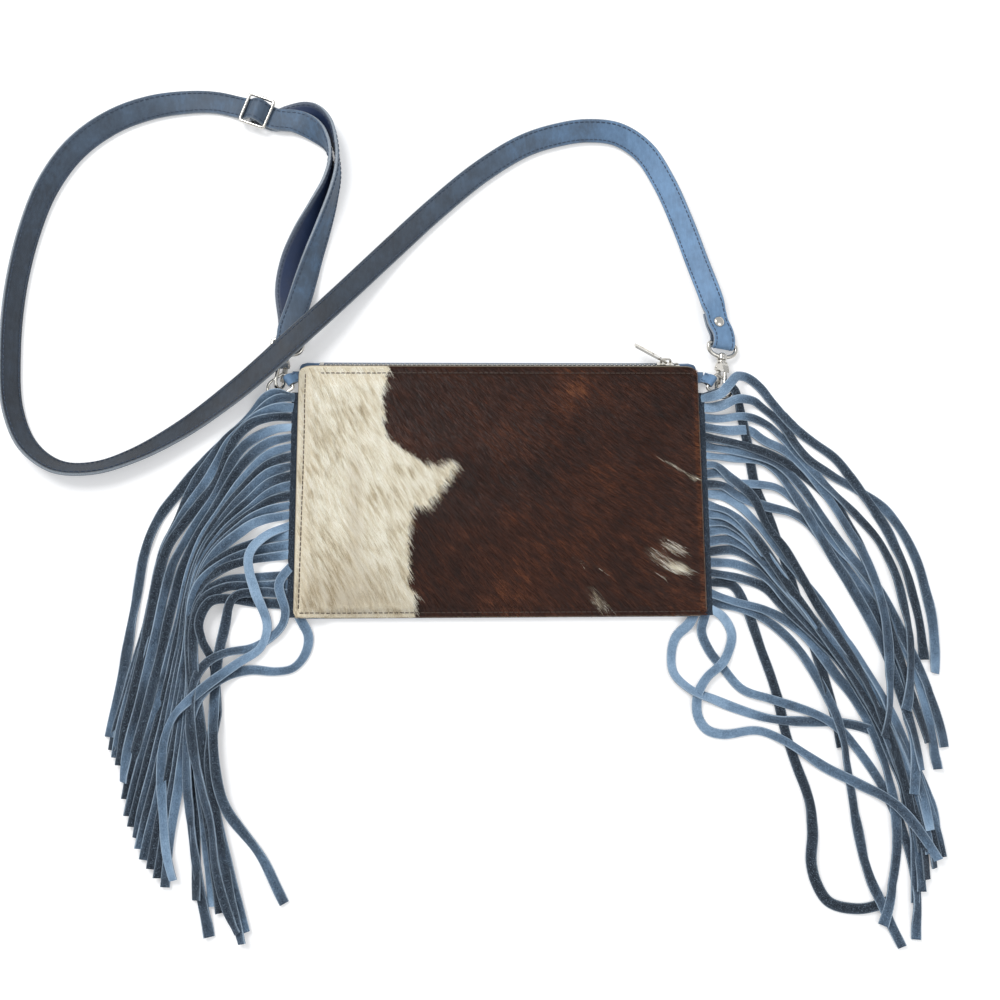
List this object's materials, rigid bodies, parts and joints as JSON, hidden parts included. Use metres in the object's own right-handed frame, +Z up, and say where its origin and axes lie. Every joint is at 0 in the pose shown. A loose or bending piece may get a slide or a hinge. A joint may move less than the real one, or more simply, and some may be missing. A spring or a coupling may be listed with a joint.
{
  "type": "fringed suede bag",
  "caption": "Flat zip-top bag with a hair-on hide front, suede fringe down both sides and a long clip-on shoulder strap, laid down flat.",
  "frame": {"origin": "the middle of the back panel's flat face, on the table", "axes": "+X to the right as in the picture, +Y towards the zip, +Z up through the front panel"},
  "size_m": [0.5867, 0.5466, 0.0185],
  "materials": {
    "hide": "short glossy hair, brown with a cream patch",
    "blue_leather": "soft blue suede split",
    "strap_leather": "smooth, stitched, a little creased",
    "suede": "napped suede with pale cut edges",
    "zip_tape": "woven tape with metal teeth",
    "nickel": "warm nickel plate, lightly rubbed"
  },
  "bodies": {
    "bag": {"back_panel": "blue_leather", "front_panel": "hide", "zip_tape_front": "zip_tape", "zip_tape_back": "zip_tape", "zip_bottom_stop": "nickel", "zip_top_stop_front": "nickel", "zip_top_stop_back": "nickel", "ring_tab_right": "blue_leather", "ring_tab_left": "blue_leather", "clasp_eye_right": "nickel", "clasp_eye_left": "nickel", "strap": "strap_leather", "strap_rivet": "nickel", "strap_slide": "nickel", "fringe_right": "suede", "fringe_left": "suede"},
    "slider": {"zip_slider": "nickel"},
    "pull": {"zip_pull": "nickel"},
    "ring_right": {"d_ring_right": "nickel"},
    "hook_right": {"clasp_hook_right": "nickel", "gate_pin_right": "nickel"},
    "gate_right": {"clasp_gate_right": "nickel"},
    "ring_left": {"d_ring_left": "nickel"},
    "hook_left": {"clasp_hook_left": "nickel", "gate_pin_left": "nickel"},
    "gate_left": {"clasp_gate_left": "nickel"}
  },
  "joints": [
    {"name": "zip_slide", "type": "slide", "parent": "bag", "child": "slider", "axis": [1, 0, 0], "range_m": [-0.2, 0], "deforming": ["zip_tape_front", "zip_tape_back"]},
    {"name": "pull_hinge", "type": "hinge", "parent": "slider", "child": "pull", "pos_m": [0.1062, 0.08264, 0.0084], "axis": [0, 0.5736, -0.8192], "range_deg": [-20, 100]},
    {"name": "ring_right_hinge", "type": "hinge", "parent": "bag", "child": "ring_right", "pos_m": [0.1355, 0.0705, 0.00645], "axis": [0.5736, 0.8192, 0], "range_deg": [-1.5, 1.5]},
    {"name": "ring_left_hinge", "type": "hinge", "parent": "bag", "child": "ring_left", "pos_m": [-0.1328, 0.0705, 0.00645], "axis": [0.5736, -0.8192, 0], "range_deg": [-1.5, 1.5]},
    {"name": "swivel_right", "type": "hinge", "parent": "bag", "child": "hook_right", "pos_m": [0.14305, 0.08454, 0.0055], "axis": [-0.09, -0.9959, 0], "range_deg": [-3, 3]},
    {"name": "swivel_left", "type": "hinge", "parent": "bag", "child": "hook_left", "pos_m": [-0.13587, 0.08567, 0.0055], "axis": [-0.178, -0.984, 0], "range_deg": [-3, 3]},
    {"name": "gate_right_hinge", "type": "hinge", "parent": "hook_right", "child": "gate_right", "pos_m": [0.14155, 0.08006, 0.00303], "axis": [-0.9098, 0.0822, 0.4067], "range_deg": [0, 3], "stiffness_Nm_per_rad": 0.002, "springref_deg": -17.19},
    {"name": "gate_left_hinge", "type": "hinge", "parent": "hook_left", "child": "gate_left", "pos_m": [-0.13544, 0.08092, 0.00312], "axis": [-0.8688, 0.1572, -0.4695], "range_deg": [0, 3], "stiffness_Nm_per_rad": 0.002, "springref_deg": -17.19}
  ]
}
